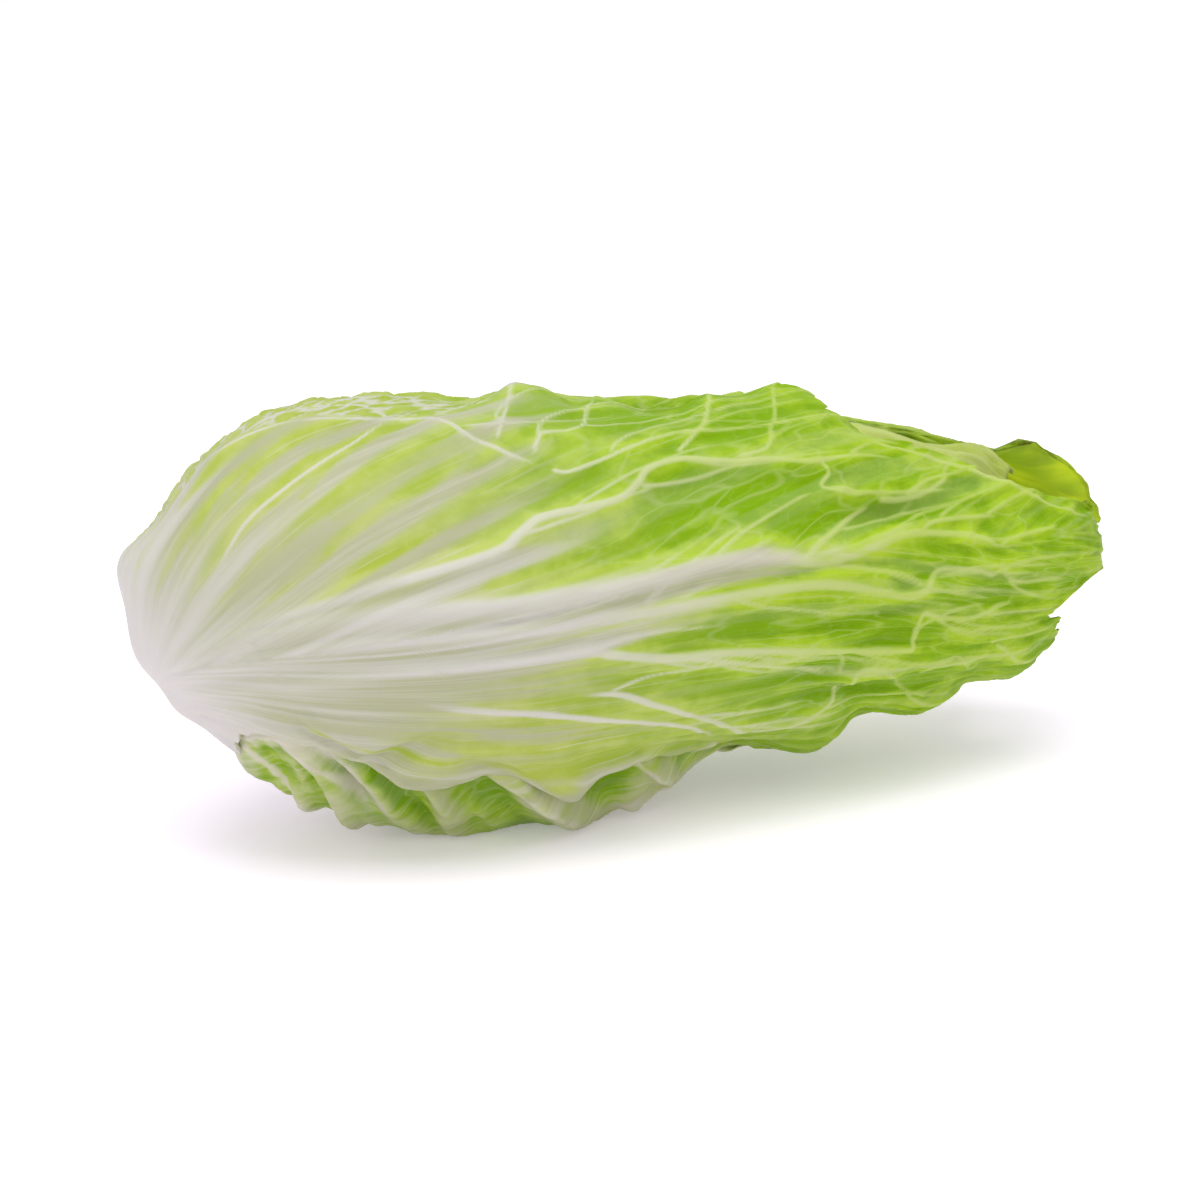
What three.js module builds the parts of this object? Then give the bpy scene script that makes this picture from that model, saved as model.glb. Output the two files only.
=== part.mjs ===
// A head of romaine lettuce lying on its side. Units are millimetres, +X runs
// from the cut butt to the leaf tips and +Z is up.
//
// Every leaf is a bent sheet in one family of nested shells. A place in the
// head is (depth, along, around): depth is 1 on the outside of the head and 0
// on its heart line, along is 0 at the butt and 1 at the tip, and around is an
// angle about the head in degrees: 0 at one side (-Y), 90 on top, -90 below.
import * as THREE from "three";

const { lerp, smoothstep, degToRad } = THREE.MathUtils;

// The head's outside is a long barrel between these two ends.
const BUTT_X = -124;
const TIP_X = 132;
// Its half width, and its axis above the floor, at equal steps from butt to tip.
const HALF_WIDTH = [58, 60, 61, 55, 47, 45, 46, 56, 66];
const AXIS_HEIGHT = [67, 63, 57.5, 53, 53, 52, 48, 48, 46];
const OVAL = 1.04; // how much wider than high a cross-section is
// The underside sags onto the floor round one place.
const SAG = 12;
const SAG_X = -28;
const SAG_REACH = 38;
const SAG_AROUND = degToRad(-102);

// The stem sits below the barrel's end and to one side, and the leaves fan out from it.
const FAN_TILT = degToRad(31);
const FAN_TURN = degToRad(-118);
const FAN_ACROSS = Math.tan(FAN_TILT / 2) * Math.cos(FAN_TURN);
const FAN_UP = Math.tan(FAN_TILT / 2) * Math.sin(FAN_TURN);

// Stem: its direction into the head, and its sizes at the cut face and at the inner end.
const STEM_DIRECTION = new THREE.Vector3(0.81, -0.24, 0.54).normalize();
const STEM_LENGTH = 50;
const BUTT_RADIUS = 14;
const STEM_TOP_RADIUS = 6;
const STEM_PROUD = 0.8; // how far the cut face stands out of the leaf bases
const STEM_INNER_DEPTH = 0.13;
const STEM_RINGS = 9;
const STEM_SIDES = 24;
const FAN_SCALE = 235; // mm over the outside for one unit of along, at the butt
const HEART_TIP = new THREE.Vector3(68, 0, 50.5);

// Leaves, from the outside in.
const LEAF_PITCH = 0.042; // depth from one leaf to the next
const BASE_THICKNESS = 0.64 * LEAF_PITCH; // the fleshy ribbed part of a leaf
const BLADE_THICKNESS = 0.4 * LEAF_PITCH;
const FLESHY = [0.2, 0.6]; // where along a leaf its flesh thins out
const BASE_GAP = 1.6; // between the stem and the leaf bases
const FIRST_TURN = 38; // where around the head the outermost leaf's midrib starts
const LEAF_TURN = 137.5; // from each leaf to the next one in
const RESTING_DEPTH = 1 - LEAF_PITCH; // the second leaf is the one that lies on the floor
const FLOOR_SCALE = 50; // mm of height for one unit of depth, above the floor

// A leaf opens between two places along it, given by opens: half of its width is baseSpread
// degrees before them and spread degrees after them, and its middle leans by baseLean and
// lean. tip and shoulder are how far along its middle and its margins reach, and flare is
// how many mm its margins stand out of the head.
const PLAIN = { opens: [0.08, 0.36], baseLean: 0, lean: 0, flare: 0 };
const OUTER = { count: 6, rows: 13, columns: 14, baseSpread: 66, spread: 96, tip: 0.92, shoulder: 0.64 };
const MIDDLE = { count: 7, rows: 10, columns: 10, baseSpread: 70, spread: 98, tip: 0.9, shoulder: 0.62 };
const HEART = { count: 10, rows: 11, columns: 11, baseSpread: 80, spread: 104, tip: 0.88, shoulder: 0.62 };
const FRONT_LEAF = {
  rows: 20,
  columns: 16,
  opens: [0.2, 0.42],
  baseSpread: 56,
  spread: 88,
  baseLean: 10,
  lean: -18,
  tip: 0.93,
  shoulder: 0.62,
  flare: 6,
};
const BACK_LEAF = { rows: 18, columns: 20, opens: [0.06, 0.26], spread: 108, lean: 10, tip: 0.93 };
const UNDER_LEAF = { rows: 18, columns: 18 };
const MARGIN_POWER = 2.6; // how round the end of a leaf is
const FLARE_WAVES = 4; // from the butt to the tip
const FLARE_FROM = [0.4, 0.6]; // where along a leaf its flare grows

// A smooth value between the numbers of a list, at a place from 0 to its last index.
function alongList(list, place) {
  const i = Math.min(Math.floor(place), list.length - 2);
  const t = place - i;
  const before = list[Math.max(i - 1, 0)];
  const after = list[Math.min(i + 2, list.length - 1)];
  const bend = 2 * before - 5 * list[i] + 4 * list[i + 1] - after;
  const twist = -before + 3 * list[i] - 3 * list[i + 1] + after;
  return 0.5 * (2 * list[i] + t * (list[i + 1] - before + t * (bend + t * twist)));
}

// A point on the outside of the head.
function outside(along, around) {
  const reach = Math.tan((Math.PI * along) / 2);
  const turn = degToRad(around);
  const across = FAN_ACROSS + reach * Math.cos(turn);
  const up = FAN_UP + reach * Math.sin(turn);
  const fromButt = 2 * Math.atan(Math.hypot(across, up));
  const side = Math.atan2(up, across);
  const place = (fromButt / Math.PI) * (HALF_WIDTH.length - 1);
  const radius = alongList(HALF_WIDTH, place) * Math.sin(fromButt);
  const x = BUTT_X + ((TIP_X - BUTT_X) * (1 - Math.cos(fromButt))) / 2;
  const y = -Math.cos(side) * radius * OVAL;
  const z = alongList(AXIS_HEIGHT, place) + Math.sin(side) * radius;
  const under = Math.max(0, Math.cos(side - SAG_AROUND)) ** 6;
  const sag = SAG * under * Math.exp(-(((x - SAG_X) / SAG_REACH) ** 2));
  return new THREE.Vector3(x, y, z - sag);
}

const BUTT = outside(0, 0);
const HEART_BASE = BUTT.clone().addScaledVector(STEM_DIRECTION, STEM_LENGTH);

// A point of the head, which is pressed flat where it would go below a height.
function place(depth, along, around, lowest) {
  const share = (1 - Math.cos(Math.PI * along)) / 2;
  const point = HEART_BASE.clone().lerp(HEART_TIP, share).lerp(outside(along, around), depth);
  point.z = Math.max(point.z, lowest);
  return point;
}

// How far along the stem's side lies at a depth.
function stemSide(depth, gap) {
  const radius = STEM_TOP_RADIUS + (BUTT_RADIUS - STEM_TOP_RADIUS) * depth;
  return (radius + gap) / (FAN_SCALE * depth);
}

function makeMesh(name, points, triangles, color) {
  const geometry = new THREE.BufferGeometry().setFromPoints(points);
  geometry.setIndex(triangles);
  geometry.computeVertexNormals();
  const material = new THREE.MeshStandardMaterial({ color, roughness: 0.6, metalness: 0 });
  const mesh = new THREE.Mesh(geometry, material);
  mesh.name = name;
  return mesh;
}

// The stem: rings from its inner end out to a flat cut face, each end closed by a fan.
function makeStem() {
  const facing = STEM_DIRECTION.clone().negate();
  const cut = BUTT.clone().addScaledVector(facing, STEM_PROUD);
  const points = [];
  const triangles = [];
  for (let ring = 0; ring <= STEM_RINGS; ring++) {
    const depth = lerp(STEM_INNER_DEPTH, 1, ring / STEM_RINGS);
    for (let side = 0; side < STEM_SIDES; side++) {
      const point = place(depth, stemSide(depth, 0), (360 * side) / STEM_SIDES, 0);
      const short = ring === STEM_RINGS ? cut.clone().sub(point).dot(facing) : 0;
      points.push(point.addScaledVector(facing, short));
    }
  }
  const middle = (ring) => {
    const sum = new THREE.Vector3();
    for (let side = 0; side < STEM_SIDES; side++) sum.add(points[ring * STEM_SIDES + side]);
    return sum.divideScalar(STEM_SIDES);
  };
  points.push(middle(0), middle(STEM_RINGS));
  for (let side = 0; side < STEM_SIDES; side++) {
    const next = (side + 1) % STEM_SIDES;
    for (let ring = 0; ring < STEM_RINGS; ring++) {
      const a = ring * STEM_SIDES + side;
      const b = ring * STEM_SIDES + next;
      triangles.push(a, b, a + STEM_SIDES, b, b + STEM_SIDES, a + STEM_SIDES);
    }
    const last = STEM_RINGS * STEM_SIDES;
    triangles.push(points.length - 2, next, side);
    triangles.push(points.length - 1, last + side, last + next);
  }
  return makeMesh("stem", points, triangles, 0xdcd3bd);
}

// A point on a leaf: s runs from base to end, t from one margin (-1) to the other (1),
// and face is 0 on its outer side and 1 on its inner side.
function leafPoint(leaf, face, s, t) {
  const start = stemSide(leaf.depth, BASE_GAP);
  const end = leaf.tip - (leaf.tip - leaf.shoulder) * Math.abs(t) ** MARGIN_POWER;
  const along = lerp(start, end, s);
  const opened = smoothstep(along, ...leaf.opens);
  const around = lerp(leaf.baseLean, leaf.lean, opened) + t * lerp(leaf.baseSpread, leaf.spread, opened);
  const wave = (1 + Math.sin(2 * Math.PI * FLARE_WAVES * along)) / 2;
  const edge = smoothstep(Math.max(Math.abs(t), s), 0.6, 1) * smoothstep(along, ...FLARE_FROM);
  const proud = (leaf.flare * edge * wave) / FLOOR_SCALE;
  const inward = face * lerp(BASE_THICKNESS, BLADE_THICKNESS, smoothstep(along, ...FLESHY));
  const layer = Math.max(0, RESTING_DEPTH - leaf.depth) + inward;
  const depth = leaf.depth + proud - inward;
  return place(depth, along, leaf.turn + around, FLOOR_SCALE * layer);
}

// A leaf: an outer and an inner face over the same grid, joined round the margin.
function makeLeaf(leaf) {
  const points = [];
  const triangles = [];
  const wide = leaf.columns + 1;
  const at = (face, row, column) => (face * (leaf.rows + 1) + row) * wide + column;
  for (const face of [0, 1]) {
    for (let row = 0; row <= leaf.rows; row++) {
      for (let column = 0; column <= leaf.columns; column++) {
        points.push(leafPoint(leaf, face, row / leaf.rows, (2 * column) / leaf.columns - 1));
      }
    }
  }
  const quad = (a, b, c, d) => triangles.push(a, b, c, a, c, d);
  for (let row = 0; row < leaf.rows; row++) {
    for (let column = 0; column < leaf.columns; column++) {
      quad(at(0, row, column), at(0, row + 1, column), at(0, row + 1, column + 1), at(0, row, column + 1));
      quad(at(1, row, column), at(1, row, column + 1), at(1, row + 1, column + 1), at(1, row + 1, column));
    }
  }
  for (let row = 0; row < leaf.rows; row++) {
    quad(at(0, row, 0), at(1, row, 0), at(1, row + 1, 0), at(0, row + 1, 0));
    const last = leaf.columns;
    quad(at(0, row + 1, last), at(1, row + 1, last), at(1, row, last), at(0, row, last));
  }
  for (let column = 0; column < leaf.columns; column++) {
    quad(at(0, 0, column + 1), at(1, 0, column + 1), at(1, 0, column), at(0, 0, column));
    const last = leaf.rows;
    quad(at(0, last, column), at(1, last, column), at(1, last, column + 1), at(0, last, column + 1));
  }
  return makeMesh(leaf.name, points, triangles, leaf.color);
}

// The leaves in order, each one turn further round and one pitch deeper.
function listLeaves() {
  const leaves = [];
  const groups = [["outer_leaf", OUTER], ["middle_leaf", MIDDLE], ["heart_leaf", HEART]];
  for (const [name, group] of groups) {
    for (let i = 0; i < group.count; i++) {
      const order = leaves.length;
      const share = order / (OUTER.count + MIDDLE.count + HEART.count - 1);
      const color = new THREE.Color(0x9cc24a).lerp(new THREE.Color(0xe6e6a0), share);
      const turn = FIRST_TURN + LEAF_TURN * order;
      const depth = 1 - LEAF_PITCH * order;
      const number = String(i + 1).padStart(2, "0");
      leaves.push({ ...PLAIN, ...group, name: `${name}_${number}`, depth, turn, color });
    }
  }
  Object.assign(leaves[0], FRONT_LEAF);
  Object.assign(leaves[1], BACK_LEAF);
  Object.assign(leaves[2], UNDER_LEAF);
  return leaves;
}

const head = new THREE.Group();
head.name = "romaine_lettuce";
head.add(makeStem());
for (const leaf of listLeaves()) head.add(makeLeaf(leaf));

// The origin is the middle of the head's footprint, on the floor.
const box = new THREE.Box3().setFromObject(head);
const middle = box.getCenter(new THREE.Vector3());
for (const mesh of head.children) mesh.position.set(-middle.x, -middle.y, -box.min.z);

export default head;
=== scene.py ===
"""A head of romaine lettuce lying on its side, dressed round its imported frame.

Blender's units are metres. The leaves are worked out in millimetres, as shells
of one family: depth is 1 on the outside of the head and 0 on its heart line,
along is 0 at the butt and 1 at the tips, and around is an angle about the head
in degrees: 0 at the side that faces -Y, 90 on top and -90 below.
"""

import math

import bpy
import numpy as np
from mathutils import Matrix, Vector


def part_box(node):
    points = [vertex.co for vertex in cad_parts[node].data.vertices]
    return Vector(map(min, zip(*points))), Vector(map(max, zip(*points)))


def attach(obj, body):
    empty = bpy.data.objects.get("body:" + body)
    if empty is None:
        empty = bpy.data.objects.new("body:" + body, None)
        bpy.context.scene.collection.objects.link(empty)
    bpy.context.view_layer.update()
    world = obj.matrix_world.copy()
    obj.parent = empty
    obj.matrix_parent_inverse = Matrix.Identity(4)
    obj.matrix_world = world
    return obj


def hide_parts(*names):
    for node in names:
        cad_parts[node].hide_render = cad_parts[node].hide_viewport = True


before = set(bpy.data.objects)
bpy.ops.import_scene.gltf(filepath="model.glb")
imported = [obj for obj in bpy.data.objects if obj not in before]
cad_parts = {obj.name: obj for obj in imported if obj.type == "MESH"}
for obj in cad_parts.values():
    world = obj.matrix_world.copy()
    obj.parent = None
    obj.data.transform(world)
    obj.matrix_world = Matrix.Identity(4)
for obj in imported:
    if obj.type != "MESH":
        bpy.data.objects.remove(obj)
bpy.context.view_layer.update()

MM = 0.001

# The head's outside, as the CAD leaves have it.
BUTT_X = -124
TIP_X = 132
HALF_WIDTH = np.array([58, 60, 61, 55, 47, 45, 46, 56, 66], float)
AXIS_HEIGHT = np.array([67, 63, 57.5, 53, 53, 52, 48, 48, 46], float)
OVAL = 1.04
SAG = 12
SAG_X = -28
SAG_REACH = 38
SAG_AROUND = math.radians(-102)
FAN_TILT = math.radians(31)
FAN_TURN = math.radians(-118)
FAN = math.tan(FAN_TILT / 2) * complex(math.cos(FAN_TURN), math.sin(FAN_TURN))
STEM_DIRECTION = np.array(Vector((0.81, -0.24, 0.54)).normalized())
STEM_LENGTH = 50
BUTT_RADIUS = 14
STEM_TOP_RADIUS = 6
FAN_SCALE = 235
HEART_TIP = np.array([68, 0, 50.5])
LEAF_PITCH = 0.042
FIRST_TURN = 38
LEAF_TURN = 137.5

# The outline of the CAD's front leaf: how far along it reaches in its middle and at its margins.
CAD_END = 0.93
CAD_MARGIN_END = 0.62
CAD_END_POWER = 2.6
CAD_STEM_GAP = 1.6

# What one unit of depth, one of along and one degree of around measure in mm near the outside.
DEPTH_SCALE = 50
ALONG_SCALE = 290
AROUND_SCALE = 0.87

# How far a leaf's veins swing away from its midrib, in degrees for one unit of along. Above the
# front leaf's midrib they swing by the first number at the butt and by the second further on.
VEIN_SWING = 145
VEIN_SWING_BELOW = 95
FRONT_SWING = (270, 165)
FRONT_VEINS_TURN = 6
MIDRIB_PULL = 30  # degrees
MIDRIB_REACH = 9  # degrees
VEIN_PACKING = 0.4

LOWER_SIDE = -32  # where the lower leaf's crumpled side shows, around the head
FLOOR_GAP = 0.9  # mm
THINNEST_HALF = 0.78  # mm, half of the thinnest line that the grids can carry
BAND_SPACING = 6.2  # mm
RIB_SHARE = 0.4  # how much of its half width a rib stands out by
FLOW_STEP = 40.0  # mm, how far apart two leaves are in the vein pattern
TONE_SEED = 77


# ---------------------------------------------------------------- numbers


def lerp(a, b, t):
    return a + (b - a) * t


def smoothstep(x, low, high):
    t = np.clip((x - low) / (high - low), 0, 1)
    return t * t * (3 - 2 * t)


def bump(x, middle, width):
    """1 at the middle, falling to 0 over a few widths."""
    return np.exp(-(((x - middle) / width) ** 2))


def angle_from(middle, around):
    """How far around is from middle, from -180 to 180 degrees."""
    return (around - middle + 180) % 360 - 180


def noise(x, y, seed):
    """A smooth random field from -1 to 1, with about one feature to a unit."""
    size = 61
    table = np.random.RandomState(seed).uniform(-1, 1, (size, size))
    i = np.floor(x).astype(int)
    j = np.floor(y).astype(int)
    u = x - i
    v = y - j
    u = u * u * u * (u * (6 * u - 15) + 10)
    v = v * v * v * (v * (6 * v - 15) + 10)
    low = lerp(table[i % size, j % size], table[(i + 1) % size, j % size], u)
    high = lerp(table[i % size, (j + 1) % size], table[(i + 1) % size, (j + 1) % size], u)
    return lerp(low, high, v)


def through(points, x):
    """A curve through a few (place, value) points, at the places x."""
    places, values = np.array(points, float).T
    i = np.clip(np.searchsorted(places, x) - 1, 0, len(places) - 2)
    return lerp(values[i], values[i + 1], smoothstep(x, places[i], places[i + 1]))


def spline(points, count):
    """A smooth line through points, with count steps between each two."""
    points = np.array(points, float)
    ends = np.vstack([2 * points[0] - points[1], points, 2 * points[-1] - points[-2]])
    t = (np.arange(count) / count)[None, :, None]
    a, b, c, d = (p[:, None, :] for p in (ends[:-3], ends[1:-2], ends[2:-1], ends[3:]))
    line = 0.5 * (2 * b + t * (c - a + t * (2 * a - 5 * b + 4 * c - d + t * (3 * b - a - 3 * c + d))))
    return np.vstack([line.reshape(-1, points.shape[1]), points[-1:]])


# ---------------------------------------------------------------- the head's shells


def along_list(values, place):
    """A smooth curve through evenly spaced values, at places from 0 to the last one's number."""
    i = np.minimum(np.floor(place).astype(int), len(values) - 2)
    t = place - i
    before = values[np.maximum(i - 1, 0)]
    after = values[np.minimum(i + 2, len(values) - 1)]
    bend = 2 * before - 5 * values[i] + 4 * values[i + 1] - after
    twist = -before + 3 * values[i] - 3 * values[i + 1] + after
    return 0.5 * (2 * values[i] + t * (values[i + 1] - before + t * (bend + t * twist)))


def outside(along, around):
    """Points on the outside of the head."""
    on_plane = FAN + np.tan(np.pi * along / 2) * np.exp(1j * np.radians(around))
    from_butt = 2 * np.arctan(np.abs(on_plane))
    side = np.angle(on_plane)
    place = from_butt / np.pi * (len(HALF_WIDTH) - 1)
    radius = along_list(HALF_WIDTH, place) * np.sin(from_butt)
    x = BUTT_X + (TIP_X - BUTT_X) * (1 - np.cos(from_butt)) / 2
    y = -np.cos(side) * radius * OVAL
    under = np.maximum(0, np.cos(side - SAG_AROUND)) ** 6
    sag = SAG * under * bump(x, SAG_X, SAG_REACH)
    z = along_list(AXIS_HEIGHT, place) + np.sin(side) * radius - sag
    return np.stack([x, y, z], -1)


BUTT = outside(np.array(1e-6), np.array(0.0))
HEART_BASE = BUTT + STEM_DIRECTION * STEM_LENGTH


def shell(depth, along, around):
    """Points at a depth in the head, which may be a number or one for each point."""
    share = ((1 - np.cos(np.pi * along)) / 2)[..., None]
    heart = lerp(HEART_BASE, HEART_TIP, share)
    return lerp(heart, outside(along, around), np.asarray(depth)[..., None])


def stem_side(depth, gap):
    """How far along a leaf at this depth starts, at a gap in mm from the stem."""
    return (lerp(STEM_TOP_RADIUS, BUTT_RADIUS, depth) + gap) / (FAN_SCALE * depth)


def normals_of(points):
    """Unit normals of a grid of points, pointing out of the head."""
    down = np.gradient(points, axis=0)
    across = np.gradient(points, axis=1)
    normals = np.cross(down, across)
    return normals / np.maximum(np.linalg.norm(normals, axis=-1, keepdims=True), 1e-9)


# ---------------------------------------------------------------- the leaves

# Where a leaf's end lies, as (place across the leaf, along) from one margin to the other.
ROUND_END = [(-1, 0.62), (-0.8, 0.745), (-0.5, 0.855), (0, 0.92), (0.5, 0.855), (0.8, 0.745), (1, 0.62)]
FRONT_END = [
    (-1, 0.7), (-0.8, 0.785), (-0.625, 0.82), (-0.5, 0.82), (-0.38, 0.8), (-0.29, 0.85), (-0.2, 0.93),
    (0, 0.95), (0.2, 0.945), (0.27, 0.875), (0.33, 0.8), (0.4, 0.757), (0.57, 0.7), (0.78, 0.665),
    (1, 0.62),
]
BACK_END = [
    (-1, 0.6), (-0.93, 0.65), (-0.87, 0.74), (-0.82, 0.865), (-0.76, 0.93), (-0.65, 0.955), (-0.4, 0.95),
    (0, 0.93), (0.5, 0.855), (0.8, 0.745), (1, 0.62),
]

PLAIN = dict(
    opens=(0.08, 0.36), base_spread=70, spread=98, base_lean=0, lean=0, end=ROUND_END, reach=0.0,
    ruffle=3.0, fold=0.9, ridge=1.8, ribs=8, green=0.3, tone=0.5, pale=0.0, wall=(2.6, 1.0), swells=[],
)
OUTER = dict(count=6, rows=150, columns=140, base_spread=66, spread=96, slot="outer_leaf", reach=-0.02)
MIDDLE = dict(
    count=7, rows=100, columns=90, spread=98, slot="middle_leaf", reach=-0.03, green=0.42, tone=0.25,
)
HEART = dict(
    count=10, rows=60, columns=50, base_spread=80, spread=104, slot="heart_leaf", reach=-0.06,
    ruffle=2.0, fold=0.6, ridge=0.8, ribs=5, green=0.6, tone=0.1, wall=(1.6, 0.7),
)
FRONT_LEAF = dict(
    rows=320, columns=240, slot="front_leaf", opens=(0.2, 0.42), base_spread=56, spread=88,
    base_lean=10, lean=-18, tone=0.35, ruffle=1.2, fold=0.5, ridge=2.4, reach=0.0, end=FRONT_END,
)
BACK_LEAF = dict(
    rows=220, columns=200, opens=(0.06, 0.26), spread=108, lean=10, reach=0.0, tone=1.0, end=BACK_END,
)
UNDER_LEAF = dict(rows=260, columns=240, ruffle=4.0, ridge=4.5, tone=0.8, reach=-0.1)
# The top leaf is painted pale: partly its own pale green, partly painted sheen where its surface is seen at a
# grazing angle.
TOP_LEAF = dict(reach=-0.07, pale=0.9, tone=0.2)

# High and low places of a leaf: along, around, height in mm, how far each reaches along the
# leaf and across it in mm, and, where it is turned, by how many degrees.
FRONT_SWELLS = [
    (0.245, 84, -3.4, 16, 20), (0.4, 96, 2.5, 26, 18), (0.486, 90, -2, 6, 10), (0.17, 95, 2, 10, 16),
    (0.08, 46, 3, 14, 18), (0.075, 8, 3, 10, 13), (0.31, 90, -1.2, 12, 14), (0.9, 22, 3, 22, 32),
    (0.585, 96, -2.5, 12, 14), (0.7, 95, -2.5, 26, 16), (0.522, 86, 2.4, 6, 9), (0.546, 86, -2.6, 4, 9),
    (0.585, 88, -2.2, 5, 9), (0.612, 84, 2.5, 6, 9), (0.658, 88, 4, 7, 10), (0.585, 80, -1, 6, 8),
    (0.63, 82, -1, 4, 8), (0.615, 22.5, -1.7, 10, 1.6, 4), (0.652, 5.5, -1.9, 10, 1.7, 2),
    (0.705, 39, -1.7, 12, 2.4, 12), (0.745, 6, -1.7, 15, 4.2, 8), (0.69, 15.5, -1.5, 9, 2.4, 16),
    (0.61, 47.5, -1.3, 18, 3.2, 2), (0.65, 37, -1.3, 13, 3.2, 10), (0.685, 36, -1.1, 12, 3, 6),
    (0.605, -22, -2.6, 8, 3.4, -10), (0.588, -10, -2, 9, 3, -8), (0.65, -4, -2, 9, 3, 6),
    (0.545, 12, -1.3, 20, 3.4), (0.47, 3, -1, 18, 3.4, -4), (0.575, 48, -1.8, 10, 3.4, 10),
    (0.577, 42, -1.2, 10, 2.4, 10), (0.57, 71, -1.4, 14, 5), (0.53, 72, -1, 8, 4),
    (0.49, 48, -1, 14, 3, 20), (0.51, 33, -0.8, 18, 2.4, 10), (0.62, 66, -0.8, 8, 5),
    (0.63, -27, -1, 9, 4), (0.635, -15, 1.6, 10, 3), (0.695, -14, 1.6, 14, 3), (0.78, 20, 0.8, 24, 6),
    (0.36, 70, 1, 24, 5, 25), (0.47, 66, 1.4, 14, 5, 20), (0.78, 50, 1.6, 26, 3, -40),
    (0.318, -2.5, -3, 12, 2, 20), (0.325, -9, 1.6, 13, 3.4, 20), (0.5, -54, -3, 12, 14),
    (0.575, -56, 5.4, 10, 14), (0.545, -54, 2.2, 8, 12), (0.612, -50, -2.4, 4, 14),
    (0.665, -52, 3.8, 8, 12), (0.7, -50, 1.4, 6, 10), (0.712, -48, -1.4, 5, 12), (0.77, -46, 3, 8, 12),
    (0.82, -36, 1.5, 5, 8), (0.87, -30, -5, 9, 16),
]
BACK_SWELLS = [
    (0.73, 90, -3, 18, 9), (0.79, 88, -5, 13, 9), (0.76, 112, 1.6, 26, 14),
]
UNDER_SWELLS = [
    (0.12, -30, 3.5, 14, 16), (0.19, -40, 5, 26, 16), (0.36, -52, 8, 36, 22), (0.17, -24, -1.6, 8, 7, 20),
    (0.225, -21, -2.6, 3.4, 6, 10), (0.272, -22, -5.5, 3.6, 13, 12), (0.288, -20, -1.6, 3, 10, 12),
    (0.305, -30, 2.4, 5, 12, 10), (0.345, -25, -3.4, 6, 9), (0.38, -34, 3, 5, 13, 10),
    (0.415, -34, -3.4, 6, 9), (0.46, -36, 2.8, 5, 14), (0.5, -44, -3, 6, 10), (0.54, -48, 2.6, 6, 12),
    (0.13, -26, 1.6, 5, 10, 10), (0.195, -48, 2, 6, 10), (0.245, -55, -1.6, 5, 10),
    (0.35, -60, -1.6, 6, 12),
]
TOP_SWELLS = [
    (0.8, 80, 4.6, 20, 13), (0.78, 116, -4, 34, 19), (0.715, 76, 2.4, 12, 12), (0.755, 88, -1.2, 12, 10),
]

# The back leaf's tip opens out: by how many mm to +X and up, at places across it.
TIP_OPENS = [
    (-0.9, 0, 0), (-0.82, 0.9, 2.5), (-0.76, 3.4, 6.5), (-0.7, 8.4, 4.5), (-0.64, 10.7, -0.5),
    (-0.5, 8.8, -4), (-0.2, 2.6, -1), (0.1, 0, 0),
]

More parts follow.
